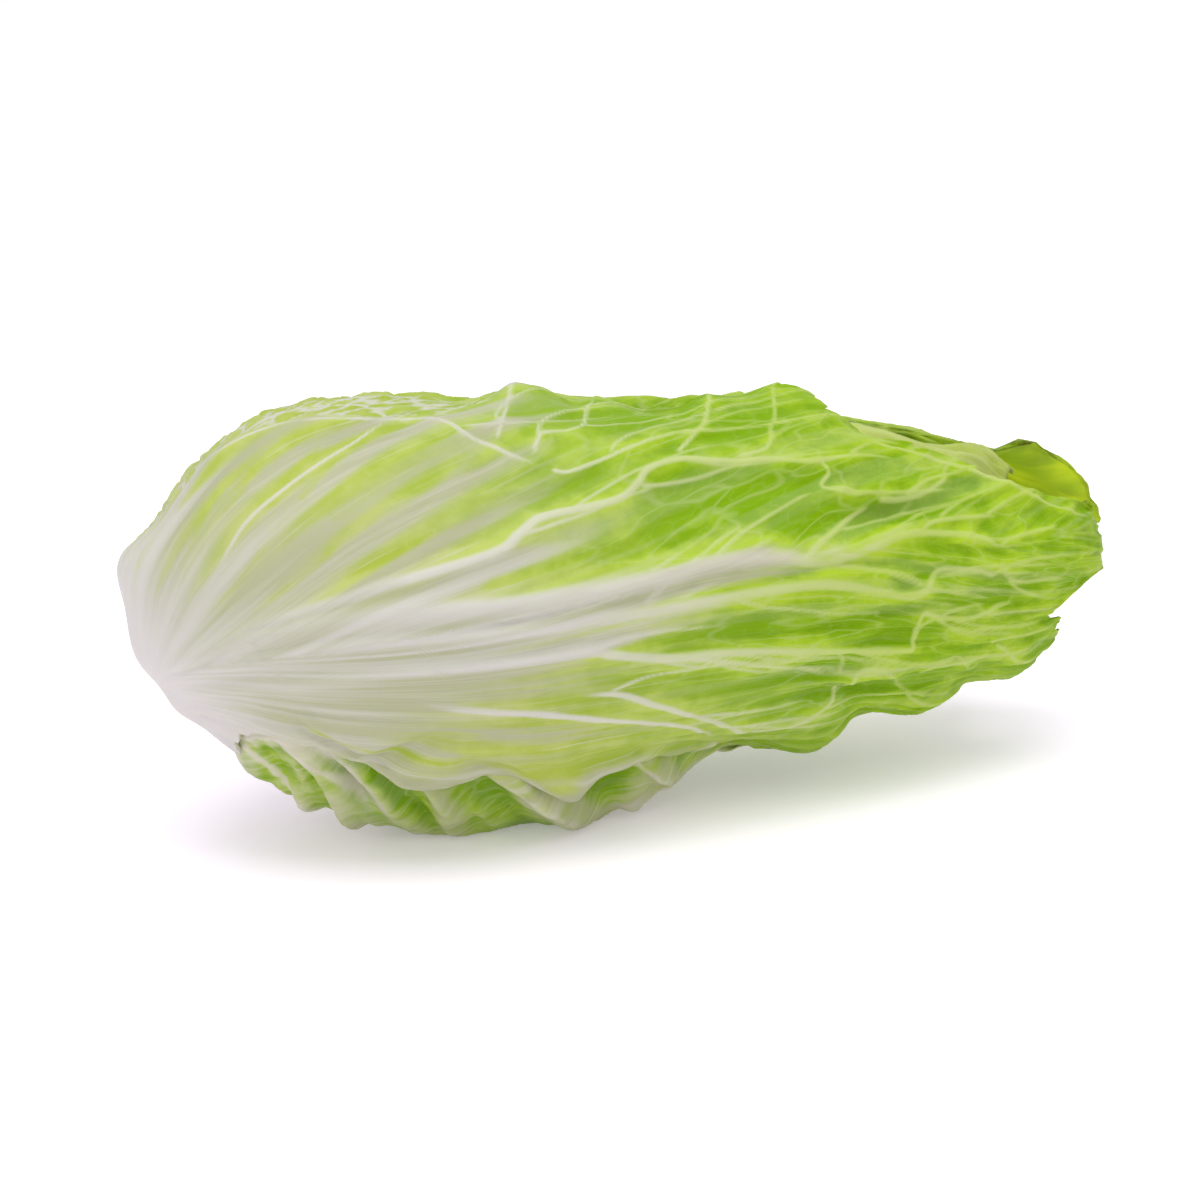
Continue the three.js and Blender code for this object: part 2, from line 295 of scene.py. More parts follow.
# Ribs, each as (along, around) points with its width at both ends in mm.
FRONT_RIBS = [
    ([(0.06, 24), (0.2, 29), (0.35, 31), (0.46, 28.5), (0.51, 28), (0.54, 27.5), (0.565, 28.5),
      (0.6, 27.5), (0.623, 23.5), (0.64, 24.5), (0.66, 26.5), (0.68, 29), (0.7, 29.5), (0.73, 29),
      (0.743, 27), (0.755, 24.5), (0.8, 24), (0.86, 22)], 6, 0.8),
    ([(0.06, 20), (0.2, 25), (0.35, 26), (0.455, 23), (0.485, 22.5), (0.52, 21), (0.555, 20),
      (0.61, 18.5), (0.63, 16.5), (0.65, 13), (0.668, 10), (0.685, 11), (0.69, 13.5), (0.7, 17),
      (0.71, 17), (0.73, 15.5), (0.745, 13), (0.75, 18), (0.765, 15), (0.8, 14)], 4.4, 0.6),
    ([(0.06, 14), (0.2, 18), (0.35, 19.5), (0.465, 16.5), (0.485, 14), (0.5, 11), (0.52, 8), (0.545, 6),
      (0.585, 0.5), (0.61, -3), (0.635, -7), (0.65, -8.5), (0.66, -9), (0.665, -6), (0.671, -2),
      (0.678, 3), (0.69, -1), (0.7, -6), (0.715, -10), (0.735, -16), (0.76, -18)], 3.6, 0.7),
    ([(0.2, 30), (0.3, 33), (0.39, 36), (0.455, 38.5), (0.475, 41.5), (0.49, 44), (0.515, 44.8),
      (0.535, 46), (0.548, 49), (0.558, 52.5), (0.575, 54.5), (0.595, 53.5), (0.62, 53), (0.645, 52),
      (0.665, 54), (0.68, 57), (0.69, 62)], 3.6, 1.2),
    ([(0.625, 23), (0.65, 20), (0.67, 17), (0.69, 12)], 1.6, 1),
    ([(0.615, 25.5), (0.625, 28.5), (0.64, 32), (0.66, 37), (0.675, 40)], 2.4, 1.4),
    ([(0.675, 41), (0.69, 41), (0.71, 43.5), (0.725, 48), (0.735, 53)], 1.8, 1.2),
    ([(0.648, 53), (0.652, 49), (0.645, 45), (0.66, 42), (0.68, 43)], 1.4, 0.9),
    ([(0.695, 30), (0.705, 33), (0.722, 34.5), (0.745, 36), (0.77, 37)], 1.4, 0.8),
    ([(0.755, 24.5), (0.765, 27), (0.79, 29), (0.83, 31)], 1, 0.7),
    ([(0.678, 3), (0.7, -1), (0.715, -2), (0.73, -1), (0.745, 1), (0.765, 0)], 1.4, 0.8),
    ([(0.75, 18), (0.757, 12), (0.775, 8), (0.8, 7), (0.83, 4)], 1, 0.7),
    ([(0.51, 10), (0.54, 4), (0.56, -1), (0.575, -5), (0.59, -10), (0.605, -14)], 1.8, 1.6),
    ([(0.45, 6), (0.475, 3), (0.49, -3), (0.5, -8), (0.515, -18), (0.53, -30), (0.565, -32), (0.59, -28),
      (0.605, -20), (0.615, -14), (0.63, -13), (0.64, -17), (0.647, -25), (0.655, -37)], 2.2, 1.2),
    ([(0.36, 12), (0.42, 5), (0.45, -1), (0.48, -9), (0.5, -18), (0.51, -32)], 2.4, 1.4),
    ([(0.61, -4), (0.612, -9), (0.605, -14)], 1, 0.8),
    ([(0.66, -22), (0.68, -19), (0.695, -17), (0.705, -22), (0.713, -32)], 1.2, 0.8),
    ([(0.735, -16), (0.75, -24), (0.765, -36)], 1, 0.7),
    ([(0.49, 62), (0.505, 74), (0.515, 88), (0.52, 100)], 1.2, 0.8),
    ([(0.505, 58), (0.515, 64), (0.53, 65), (0.54, 68), (0.547, 75), (0.553, 84), (0.56, 96)], 1.3, 0.9),
    ([(0.575, 56), (0.588, 61), (0.6, 67), (0.608, 75), (0.613, 84), (0.62, 100)], 1.5, 1),
    ([(0.6, 53.5), (0.62, 56), (0.628, 59), (0.634, 65), (0.641, 71), (0.646, 80), (0.652, 96)],
      1.3, 0.9),
    ([(0.3, 82), (0.34, 79), (0.395, 76), (0.44, 74), (0.465, 71), (0.478, 64), (0.495, 59), (0.51, 55)],
      1.2, 2),
    ([(0.51, 55), (0.52, 54), (0.545, 57), (0.57, 61), (0.6, 66)], 1.4, 1),
    ([(0.685, 62), (0.72, 60), (0.75, 55), (0.78, 49), (0.805, 43), (0.85, 36), (0.9, 34)], 1.6, 0.8),
    ([(0.22, 38), (0.25, 42), (0.29, 47), (0.33, 55), (0.37, 60), (0.41, 65), (0.43, 70), (0.45, 76)],
      1, 1),
]
UNDER_RIBS = [
    ([(0.11, -14), (0.15, -9), (0.18, -6), (0.2, -5), (0.208, -10), (0.218, -17), (0.23, -26),
      (0.24, -36)], 2.4, 1),
    ([(0.215, 3), (0.228, -3), (0.237, -10), (0.246, -20), (0.252, -28), (0.255, -40)], 2.6, 1.4),
    ([(0.24, 10), (0.262, 2), (0.276, -4), (0.291, -10), (0.305, -14), (0.32, -18)], 3.4, 2),
    ([(0.34, -10), (0.362, -20), (0.378, -32), (0.392, -46)], 1.6, 0.8),
    ([(0.4, -18), (0.436, -28), (0.455, -40), (0.47, -56)], 2, 1.2),
    ([(0.48, -30), (0.515, -40), (0.54, -52), (0.55, -64)], 2.6, 1.6),
    ([(0.135, -14), (0.15, -22), (0.165, -32), (0.18, -44)], 1.8, 1.2),
]

# White bands, green streaks and green slits of the front leaf's flesh, each with its width in mm.
FRONT_BANDS = [
    ([(0.28, 38), (0.345, 50), (0.39, 57), (0.44, 67), (0.47, 72)], 3.4),
    ([(0.33, 38), (0.39, 45), (0.42, 50), (0.45, 53), (0.48, 61), (0.5, 63)], 3.6),
    ([(0.16, 38), (0.2, 50), (0.25, 62), (0.29, 74)], 3),
    ([(0.38, 2), (0.42, -4), (0.46, -9), (0.5, -12)], 3.2),
    ([(0.38, 24), (0.46, 26), (0.56, 28), (0.62, 26)], 5.5),
    ([(0.38, 17), (0.46, 18), (0.53, 19), (0.57, 18)], 3.4),
    ([(0.2, 55), (0.24, 64), (0.28, 72), (0.31, 78)], 2.4), ([(0.34, 62), (0.38, 68), (0.42, 74)], 1.8),
    ([(0.25, 52), (0.3, 60), (0.345, 67), (0.38, 73)], 1.8), ([(0.12, 60), (0.16, 72), (0.21, 82)], 2.6),
]
FRONT_STREAKS = [
    ([(0.35, 57), (0.365, 60), (0.41, 71)], 2.6), ([(0.37, 56), (0.38, 58), (0.43, 69)], 2),
    ([(0.38, 50), (0.4, 52), (0.45, 60), (0.49, 66)], 3),
    ([(0.32, 32), (0.34, 34), (0.4, 41), (0.435, 44.5)], 2.6),
    ([(0.21, 40), (0.29, 55), (0.335, 62), (0.36, 68)], 2.4), ([(0.24, 46), (0.3, 60), (0.34, 70)], 2.4),
    ([(0.44, 33), (0.48, 35), (0.52, 37), (0.56, 38)], 2.6), ([(0.4, 36), (0.44, 38), (0.48, 42)], 2.2),
    ([(0.47, 14), (0.52, 14), (0.58, 11)], 2.2), ([(0.38, 10), (0.42, 8), (0.46, 5)], 2.6),
    ([(0.36, -2), (0.41, -8), (0.46, -14)], 3), ([(0.2, 62), (0.24, 72), (0.28, 80)], 2.4),
    ([(0.25, 38), (0.3, 43), (0.34, 49)], 2.2), ([(0.29, 36), (0.35, 41), (0.38, 46)], 2),
]
FRONT_SLITS = [([(0.265, 8), (0.285, 3), (0.31, -2), (0.34, -4.5), (0.38, -6)], 1.6)]

# How far along the front leaf its green starts and is full, at places around the head.
FRONT_GREEN = np.array([
    (-70, 0.22, 0.42), (-20, 0.25, 0.44), (0, 0.31, 0.47), (10, 0.36, 0.52), (18, 0.44, 0.6),
    (26, 0.5, 0.68), (34, 0.34, 0.58), (42, 0.22, 0.46), (55, 0.14, 0.42), (70, 0.12, 0.38),
    (80, 0.11, 0.32), (95, 0.12, 0.28), (125, 0.14, 0.3),
])

# Where the front leaf turns over on top, to a crinkled side: its place around the head.
TURNED_OVER = [(0.14, 100), (0.2, 90), (0.3, 82), (0.395, 76), (0.46, 71), (0.49, 76), (0.53, 96)]

# The lower margin of the front leaf at the butt: its place around the head, along the leaf.
LOWER_MARGIN = [
    (0.03, -62), (0.08, -46), (0.12, -24), (0.15, -8), (0.18, 0), (0.22, 4), (0.26, 2), (0.275, -3),
    (0.29, -9), (0.315, -16), (0.34, -14), (0.36, -13), (0.38, -18), (0.4, -28), (0.425, -23),
    (0.45, -25), (0.48, -36), (0.53, -64), (0.6, -68),
]


def list_leaves():
    """Every leaf from the outside in, with what sets it apart from the plain one."""
    leaves = []
    for name, group in (("outer_leaf", OUTER), ("middle_leaf", MIDDLE), ("heart_leaf", HEART)):
        for i in range(group["count"]):
            order = len(leaves)
            leaf = {**PLAIN, **group, "name": f"{name}_{i + 1:02d}", "order": order, "seed": 11 * order + 3}
            leaf["depth"] = 1 - LEAF_PITCH * order
            leaf["turn"] = FIRST_TURN + LEAF_TURN * order
            leaves.append(leaf)
    own_forms = (FRONT_LEAF, BACK_LEAF, UNDER_LEAF, TOP_LEAF)
    own_swells = (FRONT_SWELLS, BACK_SWELLS, UNDER_SWELLS, TOP_SWELLS)
    for leaf, form, swells in zip(leaves, own_forms, own_swells):
        leaf.update(form, swells=swells)
    return leaves


LEAVES = list_leaves()
FRONT, BACK, UNDER = LEAVES[:3]


def end_of(leaf, t):
    """How far along a leaf reaches, at a place across it."""
    curve = spline(leaf["end"], 12)
    return np.interp(t, curve[:, 0], curve[:, 1]) + leaf["reach"]


def middle_and_half(leaf, along):
    """Where a leaf's middle is round the head, and how many degrees its margins are from it."""
    opened = smoothstep(along, *leaf["opens"])
    middle = leaf["turn"] + lerp(leaf["base_lean"], leaf["lean"], opened)
    return middle, lerp(leaf["base_spread"], leaf["spread"], opened)


def across_leaf(leaf, along, around):
    """Where a point lies across a leaf, from -1 at one margin to 1 at the other."""
    middle, half = middle_and_half(leaf, along)
    return angle_from(middle, around) / half


def covered(leaf, along, around):
    """1 well inside a leaf's outline and 0 outside it."""
    t = across_leaf(leaf, along, around)
    inside = smoothstep(1 - np.abs(t), 0.05, 0.22)
    if leaf is FRONT:
        above = angle_from(0, around) - through(LOWER_MARGIN, along)
        inside = np.where(t < 0.3, smoothstep(above, 3, 16), inside)
    return inside * smoothstep(end_of(leaf, np.clip(t, -1, 1)) - along, 0.04, 0.14)


def grid_of(leaf):
    """s, from 0 at the stem to 1 at a leaf's end, and t, from -1 at one margin to 1 at the other. The
    front leaf's grid is finer where its end falls off steeply."""
    across = np.linspace(-1, 1, leaf["columns"] + 1)
    if leaf is FRONT:
        weight = np.cumsum(1 + 1.6 * bump(across, 0.32, 0.14))
        across = np.interp(np.linspace(weight[0], weight[-1], len(across)), weight, across)
    return np.meshgrid(np.linspace(0, 1, leaf["rows"] + 1), across, indexing="ij")


def place_on_leaf(leaf, s, t):
    """(along, around) of the points of a leaf's grid, with a scalloped end."""
    start = stem_side(leaf["depth"], -0.6)
    furthest = end_of(leaf, np.linspace(-1, 1, 81)).max()
    short = np.maximum(furthest - end_of(leaf, t), 1e-3)
    count = 9 + leaf["order"] % 4
    scallops = 0.010 * noise(t * count + 7, t * 0, leaf["seed"])
    scallops = scallops + 0.008 * noise(t * 31, t * 0, leaf["seed"] + 1)
    along = lerp(start, furthest, s) - short * s ** np.clip(0.72 / short, 2.0, 4.0) + scallops * s**12
    if leaf is FRONT:
        teeth = 0.008 * np.abs(noise(t * 38, t * 0, leaf["seed"] + 2)) * smoothstep(-t, 0.0, 0.2)
        along = along - teeth * s**20
    middle, half = middle_and_half(leaf, along)
    around = middle + t * half
    if leaf is FRONT:
        low = through(LOWER_MARGIN, along)
        around = lerp(around, lerp(low, middle + half, (t + 1) / 2), smoothstep(-t, -0.6, 0.6))
    return along, around


def depth_of(leaf, along, around):
    """How far in a leaf lies: it is pressed in where the leaves outside it cover it."""
    sink = 0 * along
    if leaf is not FRONT:
        sink = lerp(0.2, 4.8, smoothstep(along, 0.11, 0.18)) * covered(FRONT, along, around)
    if leaf["order"] > 1:
        sink = np.maximum(sink, 1.4 * covered(BACK, along, around) + 1.2 * covered(FRONT, along, around))
    return leaf["depth"] - sink / DEPTH_SCALE


def flow_of(leaf, along, around):
    """Two distances in mm: across a leaf's side veins, and along the leaf. The veins leave the
    midrib almost along it and swing away from it further out."""
    middle = leaf["turn"] + leaf["lean"] + (FRONT_VEINS_TURN if leaf is FRONT else 0)
    offset = angle_from(middle, around)
    above = lerp(*FRONT_SWING, smoothstep(along, 0.12, 0.5)) if leaf is FRONT else VEIN_SWING
    pull = MIDRIB_PULL * np.exp(-np.abs(offset) / MIDRIB_REACH) * (1 - smoothstep(along, 0.35, 0.62))
    started = along + 0.1 * np.exp(-np.maximum(along, 0) / 0.1)
    level = started - (np.abs(offset) - pull) / np.where(offset > 0, above, VEIN_SWING_BELOW)
    return level * ALONG_SCALE * VEIN_PACKING, along * ALONG_SCALE


def lengths_of(points):
    """How far each point of a leaf's grid is from the base and from the middle line, in mm."""
    rows = np.linalg.norm(np.diff(points, axis=0), axis=-1)
    columns = np.linalg.norm(np.diff(points, axis=1), axis=-1)
    down = np.vstack([np.zeros((1, points.shape[1])), np.cumsum(rows, 0)])
    over = np.hstack([np.zeros((points.shape[0], 1)), np.cumsum(columns, 1)])
    return down, over - over[:, over.shape[1] // 2][:, None]


def plain_ribs(leaf):
    """The midrib and side veins of a leaf, as (along, around) lines with their widths in mm."""
    random = np.random.RandomState(leaf["seed"])
    size = 1.0 if leaf["slot"] != "heart_leaf" else 0.6
    middle = leaf["turn"] + leaf["lean"]
    tip = end_of(leaf, 0.0)
    start = stem_side(leaf["depth"], 0)
    midrib = [(lerp(start, tip - 0.02, i / 6), middle + random.uniform(-3, 3)) for i in range(7)]
    ribs = [(midrib, 8 * size, 1.6 * size)]
    count = 2 * leaf["ribs"]
    step = 0.075
    for i in range(count):
        side = 1 if i % 2 else -1
        leaves_at = lerp(-0.12, 0.74, i / count) + random.uniform(-0.015, 0.015)
        swing = lerp(130, 180, random.rand())
        line = []
        for k in range(9):
            along = max(leaves_at, start) + step * k
            out = swing * (along - leaves_at) * (1 + 0.3 * k * step)
            wobble = random.uniform(-4, 4) * min(1, k / 2)
            line.append((along, middle + side * min(out, leaf["spread"] * 1.05) + wobble))
        line = [p for p in line if p[0] < tip]
        if len(line) > 2:
            ribs.append((line, lerp(4.6, 2.6, i / count) * size, 1.4 * size))
    return ribs


def ribs_of(leaf):
    """A leaf's ribs. The front leaf's are its own, and so are the lower leaf's near the butt."""
    if leaf is FRONT:
        return FRONT_RIBS
    ribs = plain_ribs(leaf)
    if leaf is UNDER:
        return UNDER_RIBS + [rib for rib in ribs if rib[0][0][0] > 0.4]
    return ribs


def twigs_of(leaf, ribs):
    """Thin side veins along a leaf's ribs, as (along, around) lines with their widths in mm. Each
    leaves its rib at an angle and turns towards the way the leaf's veins run."""
    random = np.random.RandomState(leaf["seed"])
    middle = leaf["turn"] + leaf["lean"]
    scale = (ALONG_SCALE, AROUND_SCALE)
    twigs = []
    for rib, _, _ in ribs:
        line = spline(rib, 6) * scale
        steps = np.diff(line, axis=0)
        far = np.append(0, np.cumsum(np.linalg.norm(steps, axis=1)))
        at = random.uniform(2, 10)
        while at < far[-1] - 3:
            i = np.searchsorted(far, at) - 1
            place = line[i] + steps[i] * (at - far[i]) / max(far[i + 1] - far[i], 1e-6)
            at += random.uniform(8, 16)
            if not 0.46 < place[0] / ALONG_SCALE < 0.76:
                continue
            above = angle_from(middle, place[1] / AROUND_SCALE) > 0
            swing = VEIN_SWING if above else -VEIN_SWING_BELOW
            runs = math.degrees(math.atan2(swing * AROUND_SCALE, ALONG_SCALE))
            turn = math.degrees(math.atan2(steps[i][1], steps[i][0]))
            turn += random.choice([-1, 1]) * random.uniform(25, 50)
            twig = [place]
            for _ in range(5):
                turn = lerp(turn, runs + random.uniform(-9, 9), 0.4)
                step = random.uniform(3.5, 7.5)
                heading = math.radians(turn)
                twig.append(twig[-1] + step * np.array([math.cos(heading), math.sin(heading)]))
            twigs.append((np.array(twig) / scale, random.uniform(0.6, 1.2), 0.4))
    return twigs


def nearest_on(line, points, *values):
    """How far points are from a line, and the line's own values where it is nearest to them."""
    nearest = np.full(len(points), 1e9)
    own = [np.zeros(len(points)) for _ in values]
    for i in range(len(line) - 1):
        step = line[i + 1] - line[i]
        t = np.clip(((points - line[i]) @ step) / max(step @ step, 1e-9), 0, 1)
        gap = np.linalg.norm(points - line[i] - t[:, None] * step, axis=1)
        closer = gap < nearest
        nearest = np.where(closer, gap, nearest)
        own = [np.where(closer, lerp(one[i], one[i + 1], t), old) for one, old in zip(values, own)]
    return nearest, own


def marks_of(leaf, points, lines):
    """What (along, around) lines with widths in mm do to the points of a leaf: line is 1 on a line
    and falls off over its own width, rise is its height, and ridge falls off over a wide, soft ridge."""
    marks = {name: np.zeros(points[..., 0].size) for name in ("line", "rise", "ridge")}
    flat = points.reshape(-1, 3)
    for line, wide, narrow in lines:
        line = spline(line, 5)
        at = shell(leaf["depth"], np.clip(line[:, 0], 1e-3, 0.995), line[:, 1])
        share = np.linspace(0, 1, len(at))
        true_half = lerp(wide, narrow, share) / 2
        clear = lerp(0.55, 1, np.minimum(true_half / THINNEST_HALF, 1))
        soft = 2.6 + 1.6 * true_half
        reach = 2.2 * soft.max()
        near = np.flatnonzero(((flat > at.min(0) - reach) & (flat < at.max(0) + reach)).all(1))
        values = (np.maximum(true_half, THINNEST_HALF), soft, share)
        nearest, (half, own_soft, place) = nearest_on(at, flat[near], *values)
        ends = smoothstep(place, -0.02, 0.08) * smoothstep(1 - place, -0.05, 0.2)
        ends = ends * np.interp(place, share, clear)
        strength = lerp(0.4, 1.0, smoothstep(half, 0.8, 2.2)) * ends
        on_line = bump(nearest, 0, half)
        marks["line"][near] = np.maximum(marks["line"][near], on_line * ends)
        marks["rise"][near] = np.maximum(marks["rise"][near], on_line * half * ends)
        marks["ridge"][near] += (bump(nearest, 0, own_soft) * strength) ** 4
    marks["ridge"] = marks["ridge"] ** 0.25
    return {name: values.reshape(points.shape[:-1]) for name, values in marks.items()}


def swells_of(swells, along, around):
    """The height in mm of a list of high and low places."""
    height = 0 * along
    for at, turn, rise, length, width, *angle in swells:
        far = (along - at) * ALONG_SCALE
        over = angle_from(turn, around) * AROUND_SCALE
        c = math.cos(math.radians(sum(angle)))
        d = math.sin(math.radians(sum(angle)))
        height += rise * bump(far * c + over * d, 0, length) * bump(over * c - far * d, 0, width)
    return height


def relief_of(leaf, fields, plain):
    """How far in mm a leaf stands out from its plain shell: its long folds that follow the veins,
    the ruffles of its margin, its waves and fibres, its ribs and its swells."""
    along, level, far, blade = (fields[name] for name in ("along", "level", "far", "blade"))
    seed = leaf["seed"]
    down, over = lengths_of(plain)
    edge = smoothstep(-fields["margin"], -0.34, 0) * smoothstep(along, 0.2, 0.5)
    waves = noise(down / 13 + 0.6 * noise(over / 30, down / 30, seed + 2), over / 40, seed + 3)
    relief = leaf["fold"] * (0.25 + 0.75 * blade) * fields["folds"] * smoothstep(along, 0.15, 0.5)
    relief += leaf["ruffle"] * edge * waves
    relief += 0.8 * noise(over / 26, down / 34, seed + 4) * smoothstep(along, 0.1, 0.3)
    fleshy = 1 - 0.7 * blade
    offset = np.abs(angle_from(leaf["lean"], fields["around"] - leaf["turn"]))
    slanting = noise(level / 2.6, far / 44, seed + 6)
    relief += 0.4 * slanting * fleshy * smoothstep(offset, 2, 10) * smoothstep(along, 0.08, 0.2)
    relief += leaf["ridge"] * (fields["ridge"] - 0.5) * (0.35 + 0.65 * blade)
    relief += swells_of(leaf["swells"], along, fields["around"])
    return relief


def crumple(leaf, fields, relief):
    """Crumples the side of the lower leaf that shows, into pale crests and pockets, which are painted a
    deeper green as shade.
    """
    along, around, seed = fields["along"], fields["around"], leaf["seed"]
    small = swells_of([one for one in leaf["swells"] if one[3] < 7], along, around)
    far = along * ALONG_SCALE
    ruffles = noise(far / 7, around / 26, seed + 12) + 0.5 * noise(far / 3.4, around / 14, seed + 13)
    low = bump(angle_from(LOWER_SIDE, around), 0, 36) * smoothstep(along, 0.12, 0.18)
    relief += 3.0 * ruffles * low * smoothstep(-along, -0.6, -0.4)
    fields["crests"] = smoothstep(small + 2.4 * ruffles, -0.6, 2.6)
    fields["pockets"] = fields["pockets"] + 1.8 * smoothstep(-small - 1.6 * ruffles, 0.3, 3.0) * low


def turn_over(leaf, fields, relief):
    """Turns the front leaf over on top, to a crinkled side, and curls its lower margin."""
    along, t = fields["along"], fields["t"]
    over_it = smoothstep(fields["around"] - through(TURNED_OVER, along), -1, 5)
    fields["crinkle"] = over_it * smoothstep(along, 0.14, 0.22) * smoothstep(-along, -0.54, -0.5)
    relief -= 0.6 * fields["crinkle"]
    curl = smoothstep(along, 0.17, 0.26) * smoothstep(-along, -0.6, -0.5)
    waves = noise(along * ALONG_SCALE / 9, 3 * t, leaf["seed"] + 14)
    relief += 1.5 * smoothstep(-t, 0.9, 0.97) * curl
    relief += 2.0 * smoothstep(-t, 0.68, 0.95) * curl * waves


def leaf_fields(leaf):
    """The grid of one leaf: its points in mm, and what its wall and its colours depend on."""
    s, t = grid_of(leaf)
    along, around = place_on_leaf(leaf, s, t)
    plain = shell(depth_of(leaf, along, around), along, around)
    unsunk = shell(leaf["depth"], along, around)
    level, far = flow_of(leaf, along, around)
    ribs = ribs_of(leaf)
    seed = leaf["seed"]
    narrow_pockets = [one for one in leaf["swells"] if one[2] < 0 and one[4] < 6]
    fields = dict(
        t=t, along=along, around=around, level=level, far=far, unsunk=unsunk,
        margin=np.minimum(1 - np.abs(t), (1 - s) * 1.5),
        blade=smoothstep(along, leaf["green"] + 0.02, leaf["green"] + 0.28),
        folds=noise(level / 5, far / 30, seed) + 0.25 * noise(level / 2.8 + 9, far / 18, seed + 1),
        crinkle=0 * along, crests=0 * along, pockets=-swells_of(narrow_pockets, along, around),
        **marks_of(leaf, unsunk, ribs + twigs_of(leaf, ribs)),
    )
    relief = relief_of(leaf, fields, plain)
    if leaf is UNDER:
        crumple(leaf, fields, relief)
    if leaf is FRONT:
        turn_over(leaf, fields, relief)
    fields["pockets"] = np.maximum(fields["pockets"], 0)
    points = plain + normals_of(plain) * (relief * smoothstep(along, 0.03, 0.12))[..., None]
    if leaf is BACK:
        opens = smoothstep(s, 0.85, 1)
        at, ahead, up = np.array(TIP_OPENS).T
        points[..., 0] += np.interp(t, at, ahead) * opens
        points[..., 2] += np.interp(t, at, up) * opens
    fields["points"] = points
    return fields


def front_green(fields, streak):
    """The front leaf's share of green, before it is rounded off: white bands lie across its flesh
    above the midrib, and its lower margin is white."""
    along, around, level, far = (fields[name] for name in ("along", "around", "level", "far"))
    seed = FRONT["seed"]
    starts = through(FRONT_GREEN[:, [0, 1]], around)
    full = through(FRONT_GREEN[:, [0, 2]], around)
    above = smoothstep(around, 32, 44)
    share = (along - starts) / (full - starts)
    share = share + lerp(0.6, 0.35, above) * streak * (1 - smoothstep(share, 0.75, 1.1))
    share = np.minimum(share, lerp(1, 3, smoothstep(along, 0.5, 0.6)))
    drift = noise(far / 36, level / 14, seed + 10)
    band = 0.5 + 0.5 * np.cos(2 * np.pi * (level / BAND_SPACING + 0.45 * drift))
    weaker = noise(far / 30, level / BAND_SPACING, seed + 11)
    fine = noise(level / 1.5, far / 20, seed + 15)
    white_band = (0.85 + 0.4 * weaker) * band**1.3 + 0.25 * np.maximum(fine, 0)
    share = share - above * white_band * (1 - smoothstep(along, 0.46, 0.62))
    for lines, amount in ((FRONT_BANDS, -0.5), (FRONT_STREAKS, 0.5), (FRONT_SLITS, 1.3)):
        lines = [(line, width, width) for line, width in lines]
        share = share + amount * marks_of(FRONT, fields["unsunk"], lines)["line"]
    share = share + 0.8 * fields["crinkle"]
    rim = smoothstep(-fields["t"], 0.9, 0.98) * smoothstep(along, 0.1, 0.2)
    return share - 0.9 * (rim * smoothstep(-along, -0.56, -0.4))


def greenness(leaf, fields):
    """0 on the white base and 1 on the green blade."""
    along, around, level, far = (fields[name] for name in ("along", "around", "level", "far"))
    streak = 0.65 * noise(level / 4.2, far / 44, leaf["seed"] + 7)
    streak += 0.45 * noise(level / 1.7, far / 26, leaf["seed"] + 8)
    if leaf is FRONT:
        return smoothstep(front_green(fields, streak), -0.1, 1) * lerp(0.4, 1, smoothstep(along, 0.12, 0.42))
    offset = np.abs(across_leaf(leaf, along, around))
    starts = leaf["green"] + 0.16 * (1 - smoothstep(offset, 0.0, 0.3)) - 0.12 * smoothstep(offset, 0.3, 1)
    full = starts + 0.2
    share = (along - starts + 0.03) / (full - starts + 0.03)
    share = share + 0.65 * streak * (1 - smoothstep(share, 0.75, 1.1))
    if leaf is UNDER:
        side = angle_from(LOWER_SIDE, around)
        low = bump(side, 0, 40) * smoothstep(along, 0.11, 0.15)
        yellow = bump(along, 0.175, 0.035) * bump(side, 34, 9) + bump(along, 0.24, 0.012) * bump(side, 16, 18)
        green = 0.95 - 0.7 * fields["line"] - 0.55 * fields["crests"] - 0.7 * yellow
        share = np.maximum(share, low * green)
    return smoothstep(share, -0.1, 1)


# ---------------------------------------------------------------- node trees


